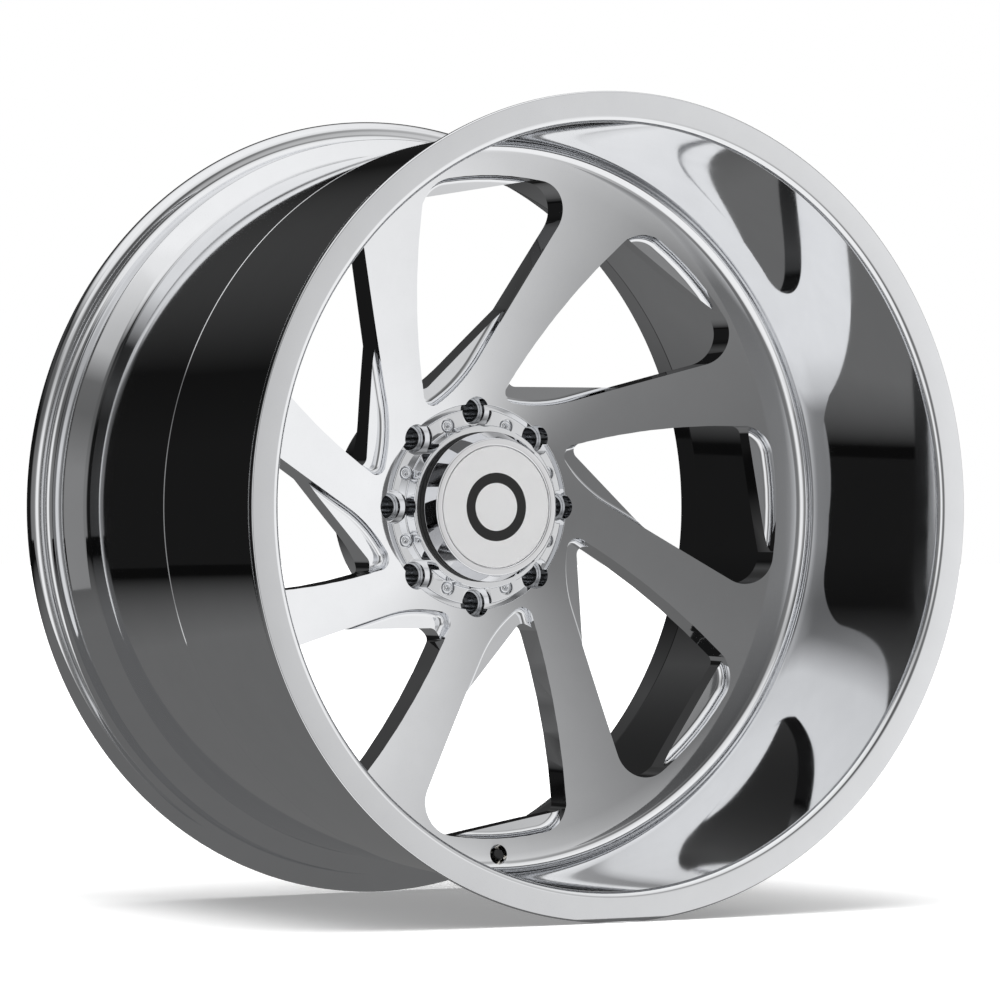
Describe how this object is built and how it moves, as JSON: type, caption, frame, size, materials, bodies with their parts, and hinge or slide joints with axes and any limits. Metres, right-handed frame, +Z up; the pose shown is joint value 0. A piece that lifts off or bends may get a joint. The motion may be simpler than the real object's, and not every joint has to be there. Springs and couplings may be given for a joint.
{
  "type": "forged wheel rim",
  "caption": "Deep-dish forged alloy wheel rim with swept spokes, a barrel for a wide low tyre, a bolt-on centre cap, steel lug seats and a tyre valve.",
  "frame": {"origin": "centre of the hub bore on the mounting face", "axes": "+Y along the wheel's axis, in towards the vehicle; -Y is the outer side; +Z up, with the valve at the bottom"},
  "size_m": [0.7001, 0.4318, 0.7002],
  "materials": {
    "forged_alloy": "mirror polished forged alloy",
    "cap_alloy": "mirror polished machined alloy",
    "cap_polished": "polished bright",
    "badge_satin": "satin",
    "seat_steel": "black oxide",
    "screw_steel": "bright zinc",
    "black_rubber": "matt",
    "black_plastic": "matt",
    "mark_black": "gloss",
    "valve_metal": "nickel plated",
    "valve_brass": "machined",
    "spring_steel": "bright drawn wire"
  },
  "bodies": {
    "wheel": {"wheel_body": "forged_alloy", "lug_seat_inserts": "seat_steel", "cap_base": "cap_alloy", "cap_screws": "screw_steel", "cap_hat": "cap_polished", "cap_hat_screws": "screw_steel", "cap_seal": "black_rubber", "cap_badge": "badge_satin", "cap_mark": "mark_black", "valve_body": "valve_metal", "valve_seal": "black_rubber", "valve_washer": "valve_metal", "valve_nut": "valve_metal", "valve_core": "valve_brass", "valve_core_seal": "black_rubber", "valve_core_spring": "spring_steel"},
    "valve_cap_thread": {"valve_cap_seal": "black_rubber"},
    "valve_cap": {"valve_cap": "black_plastic"},
    "valve_pin": {"valve_core_pin": "valve_brass"}
  },
  "joints": [
    {"name": "valve_cap_lift", "type": "slide", "parent": "wheel", "child": "valve_cap_thread", "axis": [0, -0.9063, 0.4226], "range_m": [0, 0.00635]},
    {"name": "valve_cap_turn", "type": "hinge", "parent": "valve_cap_thread", "child": "valve_cap", "pos_m": [0, -0.109, -0.304], "axis": [0, -0.9063, 0.4226], "range_deg": [0, 2880]},
    {"name": "valve_pin_push", "type": "slide", "parent": "wheel", "child": "valve_pin", "axis": [0, 0.9063, -0.4226], "range_m": [0, 0.0013], "stiffness_N_per_m": 1500, "springref_m": -0.0005, "deforming": ["valve_core_spring"]}
  ],
  "couplings": [
    {"joint": "valve_cap_turn", "follows": "valve_cap_lift", "rad_per_m": 7915.8}
  ]
}
